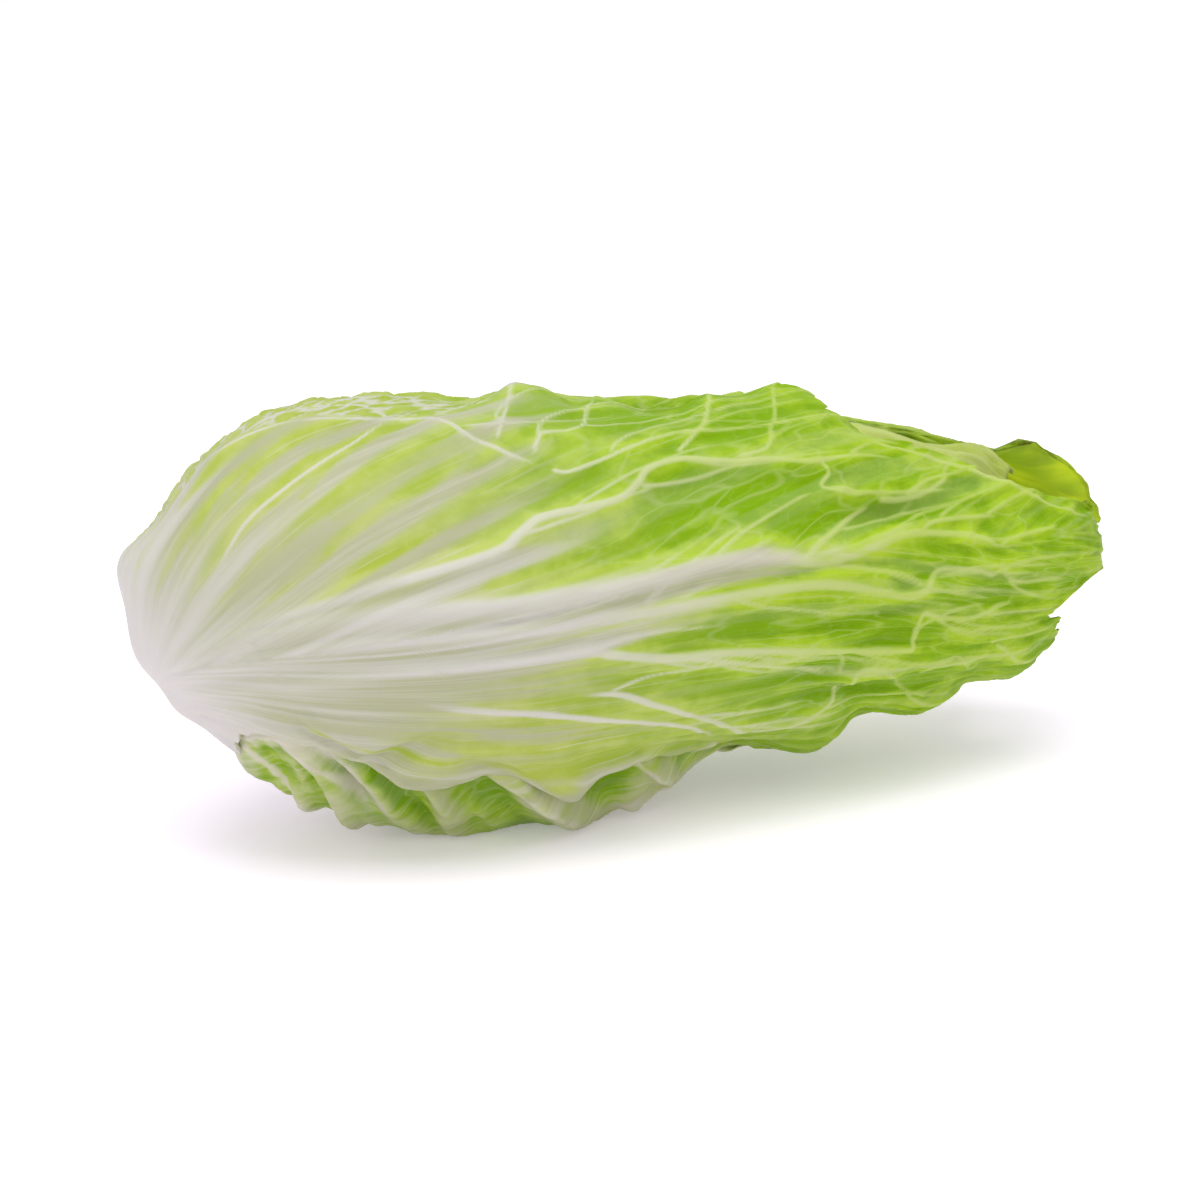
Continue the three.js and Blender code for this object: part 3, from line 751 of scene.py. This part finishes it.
class Nodes:
    """Adds nodes to a tree. An input is set to a number, a colour or another node's output."""

    def __init__(self, tree):
        self.tree = tree

    def add(self, kind, inputs=None, **settings):
        node = self.tree.nodes.new(kind)
        for name, value in settings.items():
            setattr(node, name, value)
        for name, value in (inputs or {}).items():
            self.set(node.inputs[name], value)
        return node

    def set(self, socket, value):
        if isinstance(value, bpy.types.NodeSocket):
            self.tree.links.new(value, socket)
        else:
            socket.default_value = value

    def math(self, operation, a, b, clamp=False):
        return self.add("ShaderNodeMath", {0: a, 1: b}, operation=operation, use_clamp=clamp).outputs[0]

    def plus(self, first, *others, clamp=False):
        for other in others:
            first = self.math("ADD", first, other, clamp)
        return first

    def times(self, first, *others):
        for other in others:
            first = self.math("MULTIPLY", first, other)
        return first

    def vector(self, operation, a, b):
        return self.add("ShaderNodeVectorMath", {0: a, 1: b}, operation=operation).outputs[0]

    def scaled(self, vector, share):
        return self.add("ShaderNodeVectorMath", {0: vector, "Scale": share}, operation="SCALE").outputs[0]

    def stretched(self, flow, width, length):
        """A flow in mm with its first distance divided by a width and its second by a length."""
        parts = self.add("ShaderNodeSeparateXYZ", {0: flow}).outputs
        across = self.math("DIVIDE", parts[0], width)
        down = self.math("DIVIDE", parts[1], length)
        return self.add("ShaderNodeCombineXYZ", {0: across, 1: down}).outputs[0]

    def ramp(self, value, low, high, start=0.0, end=1.0):
        inputs = {0: value, 1: low, 2: high, 3: start, 4: end}
        return self.add("ShaderNodeMapRange", inputs, interpolation_type="SMOOTHSTEP").outputs[0]

    def mix(self, share, a, b, blend="MIX"):
        node = self.add("ShaderNodeMix", {0: share, 6: a, 7: b}, data_type="RGBA", blend_type=blend)
        return node.outputs[2]

    def noise(self, vector, scale, detail=2.0, roughness=0.5):
        inputs = {"Vector": vector, "Scale": scale, "Detail": detail, "Roughness": roughness}
        return self.add("ShaderNodeTexNoise", inputs).outputs[0]

    def group(self, tree, **inputs):
        return self.add("ShaderNodeGroup", inputs, node_tree=tree).outputs

    def attribute(self, name, output="Fac"):
        return self.add("ShaderNodeAttribute", attribute_name=name).outputs[output]

    def bump(self, height, strength):
        inputs = {"Strength": strength, "Distance": 0.0006, "Height": height}
        return self.add("ShaderNodeBump", inputs).outputs[0]

    def principled(self, **inputs):
        inputs = {name.replace("_", " "): value for name, value in inputs.items()}
        return self.add("ShaderNodeBsdfPrincipled", inputs).outputs[0]


def new_group(name, kind, inputs, outputs):
    """A node group with its sockets. Each input is (name, socket, value)."""
    tree = bpy.data.node_groups.new(name, kind)
    for title, socket, value in inputs:
        made = tree.interface.new_socket(title, in_out="INPUT", socket_type="NodeSocket" + socket)
        if value is not None:
            made.default_value = value
    for title, socket in outputs:
        tree.interface.new_socket(title, in_out="OUTPUT", socket_type="NodeSocket" + socket)
    nodes = Nodes(tree)
    return tree, nodes, nodes.add("NodeGroupInput").outputs, nodes.add("NodeGroupOutput").inputs


def add_cells(n, flow, length, width):
    """Long cells on a flow in mm: how far a place is from its cell's edge, and the cell's random colour."""
    at = n.stretched(flow, width, length)
    warp = n.add("ShaderNodeTexNoise", {"Vector": at, "Scale": 0.9, "Detail": 2.0}).outputs[1]
    at = n.vector("ADD", at, n.scaled(n.vector("SUBTRACT", warp, (0.5, 0.5, 0.5)), 1.3))
    voronoi = {"Vector": at, "Scale": 1.0}
    edge = n.add("ShaderNodeTexVoronoi", voronoi, feature="DISTANCE_TO_EDGE").outputs["Distance"]
    cell = n.add("ShaderNodeTexVoronoi", voronoi).outputs["Color"]
    return edge, cell


def vein_net_group():
    """A net of fine veins on a flow in mm: 1 on a vein, how domed the cells are, and a number for each."""
    tree, n, given, made = new_group(
        "Vein net", "ShaderNodeTree",
        [("Flow", "Vector", None), ("Length", "Float", 14.0), ("Width", "Float", 4.0),
         ("Line", "Float", 0.06)],
        [("Veins", "Float"), ("Cells", "Float"), ("Tint", "Float")],
    )
    edge, cell = add_cells(n, given["Flow"], given["Length"], given["Width"])
    n.set(made["Veins"], n.ramp(edge, given["Line"], 0.0))
    n.set(made["Cells"], n.ramp(edge, 0.0, 0.35))
    n.set(made["Tint"], n.add("ShaderNodeSeparateColor", {0: cell}).outputs[0])
    return tree


def fibre_group():
    """Fine lines along the veins, for the fleshy part of a leaf."""
    tree, n, given, made = new_group(
        "Fibres", "ShaderNodeTree",
        [("Flow", "Vector", None), ("Width", "Float", 1.0), ("Length", "Float", 40.0)],
        [("Lines", "Float"), ("Streaks", "Float")],
    )
    at = n.stretched(given["Flow"], given["Width"], given["Length"])
    n.set(made["Lines"], n.noise(at, 1.0, 3.0, 0.6))
    n.set(made["Streaks"], n.noise(at, 0.3, 2.0, 0.5))
    return tree


def skin_group():
    """The skin of a leaf close up: fine pores and soft mottling, in mm of the head itself."""
    tree, n, given, made = new_group(
        "Leaf skin", "ShaderNodeTree",
        [("Place", "Vector", None), ("Pore", "Float", 0.7), ("Mottle", "Float", 9.0)],
        [("Pores", "Float"), ("Mottling", "Float")],
    )
    in_mm = n.scaled(given["Place"], 1 / MM)
    n.set(made["Pores"], n.noise(in_mm, n.math("DIVIDE", 1.0, given["Pore"]), 2.0))
    n.set(made["Mottling"], n.noise(in_mm, n.math("DIVIDE", 1.0, given["Mottle"]), 3.0, 0.6))
    return tree


def leaf_wall_tree():
    """Opens a leaf's folded sheet into a wall, and raises its ribs and sinks its blisters on both sides."""
    tree, n, given, made = new_group(
        "Leaf wall", "GeometryNodeTree",
        [("Geometry", "Geometry", None), ("Rib Share", "Float", 1.0), ("Blister Height", "Float", 0.8),
         ("Blister Length", "Float", 20.0), ("Blister Width", "Float", 7.5), ("Pucker Height", "Float", 0.2),
         ("Crinkle Height", "Float", 1.2), ("Material", "Material", None)],
        [("Geometry", "Geometry")],
    )

    def named(name, kind="FLOAT"):
        return n.add("GeometryNodeInputNamedAttribute", {"Name": name}, data_type=kind).outputs[0]

    def domes(length, width, top):
        return n.ramp(add_cells(n, flow, length, width)[0], 0.0, top)

    flow = named("flow", "FLOAT_VECTOR")
    blisters = n.times(domes(given["Blister Length"], given["Blister Width"], 0.4), given["Blister Height"])
    puckers = n.times(domes(6.0, 2.6, 0.35), given["Pucker Height"])
    crinkled = n.times(domes(7.0, 3.0, 0.45), n.times(named("crinkle"), given["Crinkle Height"]))
    sunk = n.math("SUBTRACT", n.times(n.plus(blisters, puckers), named("blade")), crinkled)
    rise = n.math("SUBTRACT", n.times(named("rib"), given["Rib Share"]), sunk)
    rise = n.math("SUBTRACT", rise, n.times(named("wall"), named("inner")))
    offset = n.scaled(named("outward", "FLOAT_VECTOR"), n.times(rise, MM))
    moved = n.add("GeometryNodeSetPosition", {"Geometry": given["Geometry"], "Offset": offset}).outputs[0]
    smooth = n.add("GeometryNodeSetShadeSmooth", {"Geometry": moved}).outputs[0]
    real = n.add("GeometryNodeRealizeInstances", {"Geometry": smooth}).outputs[0]
    dressed = n.add("GeometryNodeSetMaterial", {"Geometry": real, "Material": given["Material"]}).outputs[0]
    n.set(made["Geometry"], dressed)
    return tree


# ---------------------------------------------------------------- materials

GROUPS = {"net": vein_net_group(), "fibre": fibre_group(), "skin": skin_group()}
WALL_TREE = leaf_wall_tree()

# What a leaf's material reads from its mesh at each point.
MASKS = ("green", "vein", "tone", "ridge", "deep", "crinkle", "inner", "white", "pale", "olive_tint_and_shade")

WHITE_FLESH = (0.70, 0.675, 0.65, 1)
CREAM_FLESH = (0.74, 0.70, 0.58, 1)
# Olive: partly the flesh's own tint, partly painted shade between its ridges.
OLIVE_TINT_AND_SHADE = (0.47, 0.485, 0.30, 1)
PALE_RIB = (0.54, 0.66, 0.17, 1)
PALE_BLADE = (0.56, 0.62, 0.19, 1)
# The pale leaves' darker green, painted as shade in their hollows.
PALE_PAINTED_SHADE = (0.43, 0.53, 0.07, 1)
DIM_GLOW = (1.0, 1.0, 0.5, 1)
BRIGHT_GLOW = (1.5, 1.18, 1.0, 1)
STEM_FLESH = (0.74, 0.71, 0.62, 1)
STEM_MOTTLE = (0.7, 0.66, 0.54, 1)
STEM_RIM = (0.6, 0.5, 0.34, 1)


def new_material(name):
    material = bpy.data.materials.new(name)
    material.use_nodes = True
    material.node_tree.nodes.clear()
    return material, Nodes(material.node_tree)


def vein_net(n, flow, mask):
    """The pale net of fine veins over a leaf, and how domed its large cells are."""
    large = n.group(GROUPS["net"], Flow=flow, Length=20.0, Width=7.5, Line=0.05)
    small = n.group(GROUPS["net"], Flow=flow, Length=6.0, Width=2.6, Line=0.07)
    beads = n.group(GROUPS["net"], Flow=flow, Length=7.0, Width=3.0, Line=0.16)
    net = n.math("MAXIMUM", large["Veins"], n.times(small["Veins"], 0.3))
    net = n.times(net, n.ramp(mask["white"], 0.0, 1.0, 0.36, 0.03))
    return n.math("MAXIMUM", net, n.times(beads["Veins"], mask["crinkle"], 0.85)), large["Cells"]


def blade_colour(n, mask, fibre, skin, cells, colours):
    """The blade, with painted shade: deeper green in its hollows and inside its sunken cells, lighter on its
    ridges.
    """
    depth = n.plus(
        n.times(n.ramp(mask["ridge"], 0.75, 0.1), 0.55),
        n.ramp(cells, 0.0, 1.0, 0.0, 0.2),
        n.ramp(skin["Mottling"], 0.3, 0.7, -0.15, 0.2),
        n.ramp(fibre["Streaks"], 0.35, 0.65, -0.06, 0.07),
        n.times(mask["deep"], 0.6),
    )
    fresh = n.mix(mask["tone"], colours["light"], colours["fresh"])
    blade = n.mix(mask["pale"], fresh, PALE_BLADE)
    shaded_blade = n.mix(mask["pale"], colours["deep"], PALE_PAINTED_SHADE)
    return n.mix(n.ramp(depth, 0.15, 0.95), blade, shaded_blade), fresh


def leaf_material(name, gloss, **colours):
    """A leaf: white flesh at the base, pale ribs, and a blade between a light green and a darker painted
    shade green.
    """
    material, n = new_material(name)
    flow = n.attribute("flow", "Vector")
    mask = {one: n.attribute(one) for one in MASKS}
    place = n.add("ShaderNodeTexCoord").outputs["Object"]
    fibre = n.group(GROUPS["fibre"], Flow=flow, Width=1.0)
    skin = n.group(GROUPS["skin"], Place=place, Pore=0.7, Mottle=9.0)
    net, cells = vein_net(n, flow, mask)
    blade, fresh = blade_colour(n, mask, fibre, skin, cells, colours)

    # The veins and ribs on the blade, and fine lines where the blade is pale.
    flesh = n.mix(mask["white"], CREAM_FLESH, colours["flesh"])
    pale = n.mix(mask["white"], colours["rib"], flesh)
    fine = n.times(n.ramp(fibre["Lines"], 0.55, 0.72), n.times(mask["pale"], 0.45))
    blade = n.mix(fine, n.mix(net, blade, pale), flesh)
    blade = n.mix(n.times(n.ramp(mask["vein"], 0.24, 0.92), 0.9), blade, pale)

    # The fleshy base, with soft green between its fibres, and the leaf's inner side.
    streak = n.times(n.ramp(fibre["Streaks"], 0.4, 0.62, -0.12, 0.12), n.ramp(mask["green"], 0.0, 0.3))
    share = n.plus(mask["green"], streak, clamp=True)
    # The flesh's olive tint: partly its own colour, partly painted shade between its ridges.
    tinted_and_shaded = n.times(mask["olive_tint_and_shade"], n.ramp(fibre["Lines"], 0.3, 0.7, 0.75, 1.2))
    colour = n.mix(share, n.mix(tinted_and_shaded, flesh, OLIVE_TINT_AND_SHADE), blade)
    # Painted light: where its tone is high, the inner side is a lighter yellow-green, for light shining
    # through the leaf.
    colour = n.mix(n.times(mask["inner"], n.ramp(mask["tone"], 0.3, 0.9, 0.3, 0.8)), colour, fresh)

    height = n.plus(n.times(net, 0.6), n.times(fibre["Lines"], 0.35), n.times(skin["Pores"], 0.12))
    relief = n.bump(height, 0.4)
    surface = n.principled(
        Base_Color=colour, Roughness=n.ramp(skin["Mottling"], 0.2, 0.8, gloss - 0.05, gloss + 0.08),
        Normal=relief, Specular_IOR_Level=n.ramp(share, 0.0, 1.0, 0.3, 0.1),
        Subsurface_Weight=0.25, Subsurface_Radius=(0.9, 1.0, 0.35), Subsurface_Scale=0.0018,
    )
    glow = n.mix(1.0, colour, n.mix(mask["tone"], DIM_GLOW, BRIGHT_GLOW), "MULTIPLY")
    through_it = n.add("ShaderNodeBsdfTranslucent", {"Color": glow, "Normal": relief}).outputs[0]
    thin = n.ramp(mask["tone"], 0.2, 1.0, 0.2, 0.72)
    both = n.add("ShaderNodeMixShader", {0: thin, 1: surface, 2: through_it}).outputs[0]
    n.add("ShaderNodeOutputMaterial", {"Surface": both})
    return material


def stem_material():
    """The cut stem: cream flesh, browned at the cut face's rim."""
    material, n = new_material("stem flesh")
    place = n.add("ShaderNodeTexCoord").outputs["Object"]
    skin = n.group(GROUPS["skin"], Place=place, Pore=0.9, Mottle=5.0)
    colour = n.mix(n.ramp(skin["Mottling"], 0.3, 0.7), STEM_FLESH, STEM_MOTTLE)
    surface = n.principled(
        Base_Color=n.mix(n.times(n.attribute("cut"), n.attribute("rim")), colour, STEM_RIM),
        Roughness=n.ramp(skin["Mottling"], 0.2, 0.8, 0.4, 0.62), Normal=n.bump(skin["Pores"], 0.5),
        Subsurface_Weight=0.25, Subsurface_Radius=(1.0, 0.8, 0.4), Subsurface_Scale=0.002,
    )
    n.add("ShaderNodeOutputMaterial", {"Surface": surface})
    return material


# In each leaf below, the darkest green is painted shade for its hollows, creases and pockets.
FINISHES = {
    "front_leaf": leaf_material(
        "front leaf", 0.42, flesh=WHITE_FLESH, rib=PALE_RIB,
        light=(0.45, 0.635, 0.03, 1), deep=(0.23, 0.43, 0.001, 1), fresh=(0.48, 0.69, 0.015, 1),
    ),
    # The outer leaves' fresh green is partly their own yellow-green and partly painted light shining through
    # the back leaf's tip.
    "outer_leaf": leaf_material(
        "outer leaf", 0.42, flesh=WHITE_FLESH, rib=PALE_RIB,
        light=(0.44, 0.60, 0.05, 1), deep=(0.20, 0.38, 0.004, 1), fresh=(0.62, 0.84, 0.11, 1),
    ),
    "middle_leaf": leaf_material(
        "middle leaf", 0.45, flesh=WHITE_FLESH, rib=(0.68, 0.72, 0.38, 1),
        light=(0.52, 0.64, 0.14, 1), deep=(0.34, 0.52, 0.03, 1), fresh=(0.5, 0.68, 0.06, 1),
    ),
    "heart_leaf": leaf_material(
        "heart leaf", 0.48, flesh=(0.8, 0.77, 0.6, 1), rib=(0.8, 0.78, 0.48, 1),
        light=(0.72, 0.74, 0.26, 1), deep=(0.58, 0.66, 0.12, 1), fresh=(0.7, 0.74, 0.2, 1),
    ),
    "stem": stem_material(),
}


# ---------------------------------------------------------------- making the pieces


def set_attribute(mesh, name, values, kind="FLOAT"):
    attribute = mesh.attributes.new(name, kind, "POINT")
    key = "value" if kind == "FLOAT" else "vector"
    attribute.data.foreach_set(key, np.asarray(values, np.float32).ravel())


def input_id(tree, name):
    """The identifier that a modifier keeps an input of a tree under."""
    sockets = [i for i in tree.interface.items_tree if i.item_type == "SOCKET"]
    return next(i.identifier for i in sockets if i.in_out == "INPUT" and i.name == name)


def grow(piece, tree, **inputs):
    """Turns piece's mesh into what a node tree makes of it, and takes the modifier off again."""
    modifier = piece.modifiers.new("grow", "NODES")
    modifier.node_group = tree
    for name, value in inputs.items():
        modifier[input_id(tree, name)] = value
    bpy.context.view_layer.update()
    evaluated = piece.evaluated_get(bpy.context.evaluated_depsgraph_get())
    mesh = bpy.data.meshes.new_from_object(evaluated)
    piece.modifiers.remove(modifier)
    old = piece.data
    piece.data = mesh
    bpy.data.meshes.remove(old)
    mesh.name = piece.name


def new_piece(name, points, faces):
    mesh = bpy.data.meshes.new(name)
    mesh.from_pydata(points, [], faces)
    mesh.update()
    piece = bpy.data.objects.new(name, mesh)
    bpy.context.scene.collection.objects.link(piece)
    return piece


def grid_squares(rows, columns, start):
    """The squares of a grid whose points are numbered row by row, from start."""
    i, j = np.meshgrid(np.arange(rows), np.arange(columns), indexing="ij")
    a = (start + i * (columns + 1) + j).ravel()
    return np.stack([a, a + columns + 1, a + columns + 2, a + 1], 1)


def wall_faces(rows, columns, points):
    """The faces of a fine grid, and of a grid with every second line of it that faces the other way
    and joins it all round. Both grids have even numbers of rows and columns. The fine grid's
    squares are split along their shorter diagonals."""
    fine = (rows + 1) * (columns + 1)
    near = grid_squares(rows, columns, 0)
    flat = points.reshape(-1, 3)
    first = np.linalg.norm(flat[near[:, 0]] - flat[near[:, 2]], axis=1)
    second = np.linalg.norm(flat[near[:, 1]] - flat[near[:, 3]], axis=1)
    near = np.where((first < second)[:, None], near, np.roll(near, -1, axis=1))
    near = np.vstack([near[:, [0, 1, 2]], near[:, [0, 2, 3]]])
    far = grid_squares(rows // 2, columns // 2, fine)[:, ::-1]

    def outer(i, j):
        return i * (columns + 1) + j

    def inner(i, j):
        return fine + (i // 2) * (columns // 2 + 1) + j // 2

    rim = [(0, j) for j in range(columns)] + [(i, columns) for i in range(rows)]
    rim += [(rows, j) for j in range(columns, 0, -1)] + [(i, 0) for i in range(rows, 0, -1)]
    rim.append(rim[0])
    strip = []
    for k in range(0, len(rim) - 1, 2):
        a, b, c = (outer(*rim[k + step]) for step in range(3))
        d, e = inner(*rim[k]), inner(*rim[k + 2])
        strip += [(a, b, d), (b, e, d), (b, c, e)]
    return near.tolist() + far.tolist() + strip


def both_sides(values):
    """A grid's values on its fine side, then on its coarse side."""
    fine = values.reshape(-1, *values.shape[2:])
    coarse = values[::2, ::2].reshape(-1, *values.shape[2:])
    return np.concatenate([fine, coarse])


def head_shift():
    """What moves the shells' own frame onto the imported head, found from its front leaf."""
    s, t = np.meshgrid(np.linspace(0, 1, 161), np.linspace(-1, 1, 121), indexing="ij")
    end = CAD_END - (CAD_END - CAD_MARGIN_END) * np.abs(t) ** CAD_END_POWER
    along = lerp(stem_side(1, CAD_STEM_GAP), end, s)
    middle, half = middle_and_half(FRONT, along)
    own = shell(1.0, along, middle + t * half).reshape(-1, 3)
    low, high = (np.array(corner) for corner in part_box(FRONT["name"]))
    shift = (low + high) / 2 / MM - (own.min(0) + own.max(0)) / 2
    return np.array([shift[0], low[1] / MM - own[:, 1].min(), 0.0])


SHIFT = head_shift()


def lift_off_floor(leaf, fields, points):
    """Keeps a leaf above the floor and above the leaves outside it that rest there."""
    lowest = FLOOR_GAP + np.maximum(0, (1 - LEAF_PITCH - leaf["depth"])) * DEPTH_SCALE * 0.9
    if leaf is UNDER:
        lowest = FLOOR_GAP + 1.8 * covered(FRONT, fields["along"], fields["around"])
    points[..., 2] = np.maximum(points[..., 2], lowest)


def wall_of(leaf, fields):
    """How thick a leaf's wall is in mm: thinner along the leaf and at its margins."""
    base, blade = leaf["wall"]
    wall = lerp(base, blade, smoothstep(fields["along"], 0.15, 0.6)) + 0.5 * fields["pockets"]
    return wall * lerp(0.45, 1.0, smoothstep(fields["margin"], 0.0, 0.12))


def masks_of(leaf, fields):
    """What a leaf's material reads at each point of its grid, by name."""
    along, level, far = (fields[name] for name in ("along", "level", "far"))
    # Where tone is high, a leaf is more yellow-green and more translucent, and its inner side is painted
    # lighter, as light shining through.
    tone = leaf["tone"] * smoothstep(along, 0.5, 0.95) + 0.15 * noise(far / 30, level / 9, TONE_SEED)
    lines = fields["line"] * smoothstep(along, 0.22, 0.46)
    # An olive tint on the flesh, less on rib lines: partly its own, partly painted shade between the ridges;
    # the front leaf gets more of it towards its lower margin.
    olive_tint_and_shade = 1.2 * smoothstep(along, 0.1, 0.38) * (1 - 0.7 * lines) * (1 - 0.2 * fields["ridge"])
    olive_tint_and_shade *= 0.72 + 0.5 * noise(level / 3, far / 60, leaf["seed"] + 9)
    pale = leaf["pale"] + 0 * along
    white = 1 - smoothstep(along, 0.42, 0.66)
    if leaf is FRONT:
        olive_tint_and_shade += 0.35 * smoothstep(-fields["t"], 0.55, 0.9) * smoothstep(along, 0.16, 0.28)
        pale = 1 - smoothstep(along, 0.38, 0.6)
    if leaf is UNDER:
        pale = 0.75 * fields["crests"] * (1 - smoothstep(along, 0.5, 0.62))
        white = white * 0.25
    # Painted shade: the valleys of the long folds, and the pockets, get a deeper green.
    crease_shade = 0.32 * smoothstep(-fields["folds"], 0.0, 0.8) * fields["blade"]
    crease_shade = crease_shade * (1 - 0.6 * smoothstep(along, 0.78, 0.92))
    return dict(
        green=greenness(leaf, fields), vein=fields["line"], tone=np.clip(tone, 0, 1),
        ridge=fields["ridge"], deep=np.clip(0.5 * fields["pockets"] + crease_shade, 0, 1),
        crinkle=fields["crinkle"], white=white, pale=np.clip(pale, 0, 1), olive_tint_and_shade=olive_tint_and_shade,
    )


def make_leaf(leaf):
    fields = leaf_fields(leaf)
    along = fields["along"]
    points = fields["points"] + SHIFT
    lift_off_floor(leaf, fields, points)
    faces = wall_faces(leaf["rows"], leaf["columns"], points)
    piece = new_piece(leaf["name"] + "_leaf", both_sides(points) * MM, faces)
    values = dict(
        rib=RIB_SHARE * fields["rise"] * smoothstep(along, 0.04, 0.15), blade=fields["blade"],
        wall=wall_of(leaf, fields), **masks_of(leaf, fields),
    )
    for name, grid in values.items():
        set_attribute(piece.data, name, both_sides(grid))
    inner = np.zeros(len(piece.data.vertices))
    inner[along.size:] = 1
    set_attribute(piece.data, "inner", inner)
    offset = FLOW_STEP * leaf["order"]
    flow = np.stack([fields["level"] + offset, fields["far"] + 0.37 * offset, 0 * along], -1)
    set_attribute(piece.data, "flow", both_sides(flow), "FLOAT_VECTOR")
    set_attribute(piece.data, "outward", both_sides(normals_of(points)), "FLOAT_VECTOR")
    grow(piece, WALL_TREE, Material=FINISHES[leaf["slot"]])
    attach(piece, "root")
    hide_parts(leaf["name"])


def stem_rings(sides, rings):
    """The stem's rings of points from its inner end out to the cut face, and over that to its middle."""
    turn = np.linspace(0, 360, sides, endpoint=False)
    points = []
    for depth in lerp(0.13, 0.89, np.arange(rings + 1) / rings):
        points.append(shell(np.full(sides, depth), np.full(sides, stem_side(depth, 0)), turn))
    points = np.array(points)
    facing = -STEM_DIRECTION
    cut = BUTT - facing * 5.0
    points[-1] += facing * ((cut - points[-1]) @ facing)[:, None]
    middle = points[-1].mean(0)
    face = [lerp(points[-1], middle, share) for share in np.linspace(0.06, 0.96, 16)]
    return np.vstack([points, np.array(face)]), middle


def make_stem():
    """The stem and its cut face."""
    sides = 96
    rings = 44
    rows, middle = stem_rings(sides, rings)
    flat = np.vstack([rows.reshape(-1, 3), rows[0].mean(0)[None], middle[None]]) + SHIFT
    faces = []
    count = len(rows)
    inner_end, cut_middle = count * sides, count * sides + 1
    last = (count - 1) * sides
    for start in range(0, last, sides):
        for j in range(sides):
            k = (j + 1) % sides
            faces.append((start + j, start + k, start + sides + k, start + sides + j))
    for j in range(sides):
        k = (j + 1) % sides
        faces.append((inner_end, k, j))
        faces.append((cut_middle, last + j, last + k))
    piece = new_piece("cut_stem", flat * MM, faces)
    for polygon in piece.data.polygons:
        polygon.use_smooth = True
    row = np.repeat(np.arange(count), sides)
    set_attribute(piece.data, "cut", np.append(row >= rings, [0, 1]))
    set_attribute(piece.data, "rim", np.append(np.clip(1 - (row - rings) / 5, 0, 1), [0, 0]))
    piece.data.materials.append(FINISHES["stem"])
    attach(piece, "root")
    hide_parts("stem")


# ---------------------------------------------------------------- camera, light and floor

VIEW_TURN = math.radians(-25)
VIEW_LIFT = math.radians(16)
VIEW_HEIGHT = 0.0485
VIEW_SHIFT = 0.00535
VIEW_DISTANCE = 1.2


def make_camera():
    level = math.cos(VIEW_LIFT)
    back = Vector((math.sin(VIEW_TURN) * level, -math.cos(VIEW_TURN) * level, math.sin(VIEW_LIFT)))
    right = Vector((math.cos(VIEW_TURN), math.sin(VIEW_TURN), 0))
    aim = Vector((0, 0, VIEW_HEIGHT)) - right * VIEW_SHIFT
    data = bpy.data.cameras.new("camera")
    data.lens = 148
    data.sensor_width = 36
    camera = bpy.data.objects.new("camera", data)
    camera.location = aim + back * VIEW_DISTANCE
    camera.rotation_euler = back.to_track_quat("Z", "Y").to_euler()
    bpy.context.scene.collection.objects.link(camera)
    bpy.context.scene.camera = camera


def make_light(name, place, aim, size, power):
    data = bpy.data.lights.new(name, "AREA")
    data.shape = "RECTANGLE"
    data.size, data.size_y = size
    data.energy = power
    light = bpy.data.objects.new(name, data)
    light.location = place
    light.rotation_euler = (Vector(place) - Vector(aim)).to_track_quat("Z", "Y").to_euler()
    bpy.context.scene.collection.objects.link(light)


def make_floor():
    side = 12
    corners = [(-side, -side, 0), (side, -side, 0), (side, side, 0), (-side, side, 0)]
    floor = new_piece("floor", corners, [(0, 1, 2, 3)])
    material, n = new_material("pale floor")
    surface = n.principled(
        Base_Color=(0.94, 0.89, 0.97, 1), Roughness=0.7,
        Emission_Color=(0.96, 0.92, 1, 1), Emission_Strength=0.23,
    )
    n.add("ShaderNodeOutputMaterial", {"Surface": surface})
    floor.data.materials.append(material)


def make_studio():
    scene = bpy.context.scene
    scene.view_settings.view_transform = "Standard"
    world = bpy.data.worlds.new("studio")
    world.use_nodes = True
    background = world.node_tree.nodes["Background"].inputs
    background["Color"].default_value = (1, 1, 1, 1)
    background["Strength"].default_value = 0.74
    scene.world = world
    make_light("overhead softbox", (-0.15, -0.2, 1.3), (0, 0, 0), (1.3, 1.0), 11)
    make_light("side softbox", (-1.1, -1.0, 0.7), (0, 0, 0.05), (0.8, 0.8), 2.5)
    make_floor()


make_camera()
make_studio()
make_stem()
for one in LEAVES:
    make_leaf(one)
